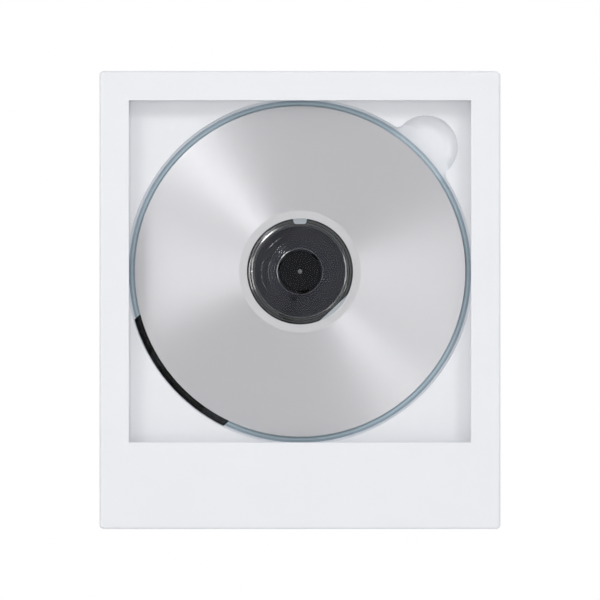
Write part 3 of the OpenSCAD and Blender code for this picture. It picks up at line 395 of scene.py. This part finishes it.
def make_materials():
    plastic = (0.875, 0.885, 0.915)
    return {
        "shell": moulded("white_shell", plastic, rough=0.5),
        "housing": housing("white_housing", plastic, painted_shade_colour=(0.012, 0.012, 0.013)),
        "deck": moulded("white_deck", plastic, rough=0.42),
        "button": moulded("white_button", plastic, rough=0.38),
        "gear": moulded("ivory_gear", (0.78, 0.76, 0.7), rough=0.35),
        "black": moulded("black_plastic", (0.028, 0.029, 0.033), rough=0.45, variation=0.1, gloss=0.25),
        "hub": moulded("black_claw", (0.001, 0.001, 0.0012), rough=0.4, variation=0.1, gloss=0.03),
        "table": turntable("black_turntable", (0.008, 0.0085, 0.0105), (0.0155, 0.015, 0.0235)),
        "chip": moulded("chip_epoxy", (0.02, 0.02, 0.022), rough=0.55, variation=0.2),
        "rubber": rubber("black_rubber", (0.0085, 0.007, 0.0125)),
        "pad": rubber("clear_rubber", (0.5, 0.5, 0.5)),
        "plate": metal("coated_steel", (0.62, 0.63, 0.65), rough=0.45, grain=0.5, stretch=(1, 1, 6)),
        "screw": metal("screw_steel", (0.42, 0.42, 0.43), rough=0.3, grain=0.15),
        "magnet": metal("nickel", (0.72, 0.71, 0.68), rough=0.2, grain=0.3),
        "motor": metal("motor_steel", (0.58, 0.58, 0.6), rough=0.32, grain=0.3, stretch=(1, 8, 1)),
        "rod": metal("rod_steel", (0.7, 0.7, 0.72), rough=0.14, grain=0.2, stretch=(4, 4, 4)),
        "dark_rod": metal("blued_rod", (0.07, 0.07, 0.08), rough=0.2, grain=0.2, stretch=(4, 4, 4)),
        "shaft": metal("shaft_steel", (0.16, 0.16, 0.17), rough=0.3, grain=0.2),
        "port": metal("port_steel", (0.66, 0.66, 0.67), rough=0.25, grain=0.2),
        "cell": metal("cell_foil", (0.6, 0.61, 0.63), rough=0.38, grain=1.5, streak=0.1),
        "board": circuit_board("circuit_board"),
        "pane": clear("clear_pane", (0.998, 0.998, 0.998), gloss_ior=1.1),
        "disc_clear": disc_clear("clear_disc", DISC_TINTS_AND_REFLECTIONS, gloss_ior=1.2),
        "ridge": clear("clear_ridge", (0.97, 0.98, 0.99), gloss_ior=1.9, rough=0.12),
        "faint_ridge": clear("clear_faint_ridge", (0.99, 0.99, 0.99), gloss_ior=1.35, rough=0.07),
        "disc_metal": disc_metal("disc_metal", (0.545, 0.545, 0.565), (0.52, 0.52, 0.535), rough=0.34),
        "lens": clear("coated_lens", (0.5, 0.6, 0.9), gloss_ior=1.5),
    }


# Each CAD node's finish and the roundness of its sharp edges, in millimetres
FINISHES = {
    "wall_bracket": ("plate", 0.2),
    "rear_housing": ("housing", 0.2),
    "deck_plate": ("deck", 0.2),
    "hinge_pins": ("rod", 0.1),
    "deck_magnets": ("magnet", 0.15),
    "housing_screws": ("screw", 0.1),
    "wall_pads": ("pad", 0.2),
    "mechanism_deck": ("black", 0.12),
    "spindle_motor": ("motor", 0.2),
    "sled_motor": ("motor", 0.2),
    "guide_rod_upper": ("dark_rod", 0.15),
    "guide_rod_lower": ("dark_rod", 0.15),
    "damper_grommets": ("rubber", 0.15),
    "mechanism_screws": ("screw", 0.1),
    "gear_axle": ("rod", 0.1),
    "main_board": ("board", 0.05),
    "board_components": ("chip", 0.08),
    "board_screws": ("screw", 0.1),
    "usb_c_port": ("port", 0.05),
    "audio_jack": ("black", 0.15),
    "battery": ("cell", 0.4),
    "button_board": ("board", 0.05),
    "tact_switches": ("chip", 0.1),
    "cover_sensor": ("chip", 0.05),
    "front_cover": ("shell", 0.12),
    "cover_window": ("pane", 0.1),
    "cover_magnets": ("magnet", 0.15),
    "turntable": ("table", 0.15),
    "turntable_mat": ("rubber", 0.08),
    "spindle_shaft": ("shaft", 0.1),
    "disc_metal_layer": ("disc_metal", 0),
    "pickup_carriage": ("black", 0.15),
    "pickup_rack": ("gear", 0.04),
    "lens_cover": ("black", 0.1),
    "objective_lens": ("lens", 0),
    "drive_gear": ("gear", 0.05),
    "motor_pinion": ("gear", 0.05),
}
CLAWS = ["hub_claw_1", "hub_claw_2", "hub_claw_3"]
BUTTONS = ["button_power", "button_mode", "button_previous", "button_play", "button_next",
           "button_volume_down", "button_volume_up"]
FINISHES |= {name: ("hub", 0.08) for name in CLAWS}
FINISHES |= {name: ("button", 0.25) for name in BUTTONS}


def smooth_by_angle():
    """A node group that shades faces smooth and keeps sharp edges crisp."""
    group = bpy.data.node_groups.new("smooth_by_angle", "GeometryNodeTree")
    group.interface.new_socket("Geometry", in_out="INPUT", socket_type="NodeSocketGeometry")
    group.interface.new_socket("Geometry", in_out="OUTPUT", socket_type="NodeSocketGeometry")
    nodes, links = group.nodes, group.links
    start = nodes.new("NodeGroupInput")
    faces = nodes.new("GeometryNodeSetShadeSmooth")
    faces.domain = "FACE"
    edges = nodes.new("GeometryNodeSetShadeSmooth")
    edges.domain = "EDGE"
    edges.inputs["Shade Smooth"].default_value = False
    angle = nodes.new("GeometryNodeInputMeshEdgeAngle")
    past = nodes.new("FunctionNodeCompare")
    past.operation = "GREATER_THAN"
    past.inputs["B"].default_value = SHARP
    end = nodes.new("NodeGroupOutput")
    links.new(start.outputs[0], faces.inputs["Geometry"])
    links.new(faces.outputs["Geometry"], edges.inputs["Geometry"])
    links.new(angle.outputs["Unsigned Angle"], past.inputs["A"])
    links.new(past.outputs["Result"], edges.inputs["Selection"])
    links.new(edges.outputs["Geometry"], end.inputs[0])
    return group


def dress(node, material, roundness, smoothing):
    """Gives a CAD node its finish and rounds its sharp edges."""
    node.material_slots[0].material = material
    weld = node.modifiers.new("weld", "WELD")
    weld.merge_threshold = WELD_REACH
    if roundness:
        flat = node.modifiers.new("flat", "DECIMATE")
        flat.decimate_type = "DISSOLVE"
        flat.angle_limit = FLAT
        edge = node.modifiers.new("edge", "BEVEL")
        edge.width = roundness * MM
        edge.segments = ROUND_STEPS
        edge.limit_method = "ANGLE"
        edge.angle_limit = SHARP
        edge.miter_outer = "MITER_ARC"
    smooth = node.modifiers.new("smooth", "NODES")
    smooth.node_group = smoothing
    weighted = node.modifiers.new("weighted", "WEIGHTED_NORMAL")
    weighted.keep_sharp = True


def dress_nodes(materials):
    smoothing = smooth_by_angle()
    for name, (finish, roundness) in FINISHES.items():
        dress(NODES[name], materials[finish], roundness, smoothing)


def outward(turn):
    """The direction across the front at an angle from the right, turning upwards."""
    return Vector((math.cos(turn), 0, math.sin(turn)))


def add_ring(work, base, out, section):
    """Points of a section: its distances run along out and its heights forwards, in millimetres."""
    return [work.verts.new(base + (out * reach - Vector((0, high, 0))) * MM) for reach, high in section]


def add_skin(work, rings, following, crisp):
    """Joins each ring of points to the one that follows it. The edges between them are crisp at the
    points with the numbers in crisp. It gives the faces, by ring and by number."""
    skin = []
    for a, b in zip(rings, following):
        after = a[1:] + a[:1]
        beside = b[1:] + b[:1]
        skin.append([work.faces.new(corners) for corners in zip(a, after, beside, b)])
        for i in crisp:
            work.edges.get((a[i], b[i])).smooth = False
    return skin


def add_piece(name, work, materials, body):
    """Makes an object of a bmesh, riding on a body and taking its finish from a slot."""
    bmesh.ops.recalc_face_normals(work, faces=work.faces)
    mesh = bpy.data.meshes.new(name)
    work.to_mesh(mesh)
    work.free()
    for material in materials:
        mesh.materials.append(material)
    piece = bpy.data.objects.new(name, mesh)
    bpy.context.scene.collection.objects.link(piece)
    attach(piece, body)
    return piece


def disc_section():
    """The disc's section, once round: radius, height over its back, and finish of the face that
    starts there."""
    ridges = BORE_RIDGE.copy()
    for start in LAND_RIDGE_RADII:
        ridges += [(start + across, high, finish) for across, high, finish in LAND_RIDGE]
    ridges += STACKING_RIDGE
    bore = [(BORE_R, DISC_T - BORE_CHAMFER_T, "ridge"), (BORE_R + BORE_CHAMFER_W, DISC_T, "disc_clear")]
    front = [(radius, DISC_T + high, finish) for radius, high, finish in ridges]
    seat = [(METAL_IN_R, DISC_T), (METAL_IN_R, DISC_T - SEAT_T),
            (METAL_R / MM, DISC_T - SEAT_T), (METAL_R / MM, DISC_T)]
    rim = [(RIM_R - RIM_CHAMFER, DISC_T), (RIM_R, DISC_T - RIM_CHAMFER),
           (RIM_R, RIM_CHAMFER), (RIM_R - RIM_CHAMFER, 0)]
    back = [(BORE_R + BACK_CHAMFER, 0), (BORE_R, BACK_CHAMFER)]
    return bore + front + [(radius, high, "disc_clear") for radius, high in seat + rim + back]


def clear_disc(materials):
    """The disc's clear body, turned from its section. Its ridges are conical, so they catch a lamp
    only on the side that faces it."""
    finishes = ["disc_clear", "ridge", "faint_ridge"]
    section = disc_section()
    profile = [(radius, high) for radius, high, _ in section]
    back = Vector((AXIS.x, DISC_HIGH.y, AXIS.z))
    turns = [i / DISC_STEPS * 2 * math.pi for i in range(DISC_STEPS)]
    work = bmesh.new()
    rings = [add_ring(work, back, outward(turn), profile) for turn in turns]
    for faces in add_skin(work, rings, rings[1:] + rings[:1], crisp=range(len(profile))):
        for face, (_, _, finish) in zip(faces, section):
            face.smooth = True
            face.material_index = finishes.index(finish)
    piece = add_piece("clear_disc", work, [materials[name] for name in finishes], "turntable")
    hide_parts("compact_disc")


def cove_section(radius):
    """A hollow quarter circle in the corner of the scoop's wall and floor: distance from the scoop's
    centre and height over its floor."""
    wall = [(SCOOP_R + SUNK, radius)]
    lifts = [i / COVE_SIDES * math.pi / 2 for i in range(COVE_SIDES + 1)]
    curve = [(SCOOP_R - radius * (1 - math.cos(lift)), radius * (1 - math.sin(lift))) for lift in lifts]
    floor = [(SCOOP_R - radius, -SUNK), (SCOOP_R + SUNK, -SUNK)]
    return wall + curve + floor


def scoop_cove(materials):
    """The hollow curve between the scoop's wall and its floor, which runs out at both ends."""
    base = Vector((AXIS.x, DISC_HIGH.y + SCOOP_DEPTH * MM, AXIS.z))
    centre = base + outward(SCOOP_ANGLE) * SCOOP_REACH * MM
    work = bmesh.new()
    rings = []
    for i in range(COVE_STEPS + 1):
        turn = (i / COVE_STEPS * 2 - 1) * COVE_SPAN
        from_end = min(1, (COVE_SPAN - abs(turn)) / COVE_TAPER)
        share = COVE_END + (1 - COVE_END) * math.sin(from_end * math.pi / 2)
        rings.append(add_ring(work, centre, outward(SCOOP_ANGLE + turn), cove_section(COVE_R * share)))
    curve_start = 1
    curve_end = curve_start + COVE_SIDES
    for faces in add_skin(work, rings, rings[1:], crisp=(curve_start, curve_end)):
        for face in faces[curve_start:curve_end]:
            face.smooth = True
    work.faces.new(rings[0])
    work.faces.new(rings[-1])
    add_piece("scoop_cove", work, [materials["deck"]], "housing")


def make_camera():
    data = bpy.data.cameras.new("camera")
    data.sensor_width = SENSOR_MM
    data.lens = PX_PER_MM / MM * CAMERA_DISTANCE * SENSOR_MM / PICTURE_PX
    camera = bpy.data.objects.new("camera", data)
    camera.location = BODY_MID - Vector((0, CAMERA_DISTANCE, 0))
    camera.rotation_euler = (math.pi / 2, 0, 0)
    bpy.context.scene.collection.objects.link(camera)
    bpy.context.scene.camera = camera


def make_lamp(name, direction, power, diameter, lights=True, shows=True):
    """A round lamp that faces the disc."""
    direction = Vector(direction)
    data = bpy.data.lights.new(name, "AREA")
    data.energy = power
    data.shape = "DISK"
    data.size = diameter
    lamp = bpy.data.objects.new(name, data)
    lamp.visible_diffuse = lights
    lamp.visible_glossy = shows
    lamp.location = AXIS + direction.normalized() * LAMP_DISTANCE
    lamp.rotation_euler = (-direction).to_track_quat("-Z", "Y").to_euler()
    bpy.context.scene.collection.objects.link(lamp)


def make_world():
    """White where it is seen, mirrored or seen through glass, and a plain level for diffuse light."""
    world = bpy.data.worlds.new("world")
    bpy.context.scene.world = world
    g = Graph(world, "OutputWorld")
    path = g.add("LightPath").outputs
    seen = path["Is Camera Ray"]
    for name in ("Is Glossy Ray", "Is Transmission Ray"):
        seen = g.math("MAXIMUM", seen, path[name])
    plain = g.add("Background", {"Color": AMBIENT_COLOUR, "Strength": AMBIENT}).outputs[0]
    white = g.add("Background", {"Color": WHITE}).outputs[0]
    g.finish(g.mix_shaders(seen, plain, white))


def floor_material():
    """Pale and dull, a little brighter to the camera, and nothing at all from below."""
    g = MaterialGraph("pale_floor")
    lit = g.principled({"Base Color": (0.86, 0.86, 0.86, 1), "Roughness": 0.9, "Specular IOR Level": 0.1})
    seen = g.add("LightPath").outputs["Is Camera Ray"]
    glow = g.add("Emission", {"Color": WHITE, "Strength": g.math("MULTIPLY", seen, FLOOR_GLOW)}).outputs[0]
    pale = g.add("AddShader", {0: lit, 1: glow}).outputs[0]
    below = g.add("NewGeometry").outputs["Backfacing"]
    nothing = g.add("BsdfTransparent").outputs[0]
    return g.finish(g.mix_shaders(below, pale, nothing))


def make_floor():
    """A floor well below the player, out of the photograph's view."""
    level = cad_box[0][2] - FLOOR_DROP
    sides = [(-1, -1), (1, -1), (1, 1), (-1, 1)]
    mesh = bpy.data.meshes.new("floor")
    mesh.from_pydata([(x * FLOOR_HALF, y * FLOOR_HALF, level) for x, y in sides], [], [(0, 1, 2, 3)])
    mesh.materials.append(floor_material())
    floor = bpy.data.objects.new("floor", mesh)
    bpy.context.scene.collection.objects.link(floor)


def make_stage():
    bpy.context.scene.view_settings.view_transform = "Standard"
    make_camera()
    for name, lamp in LAMPS.items():
        make_lamp(name, **lamp)
    make_world()
    make_floor()


make_stage()
materials = make_materials()
dress_nodes(materials)
clear_disc(materials)
scoop_cove(materials)
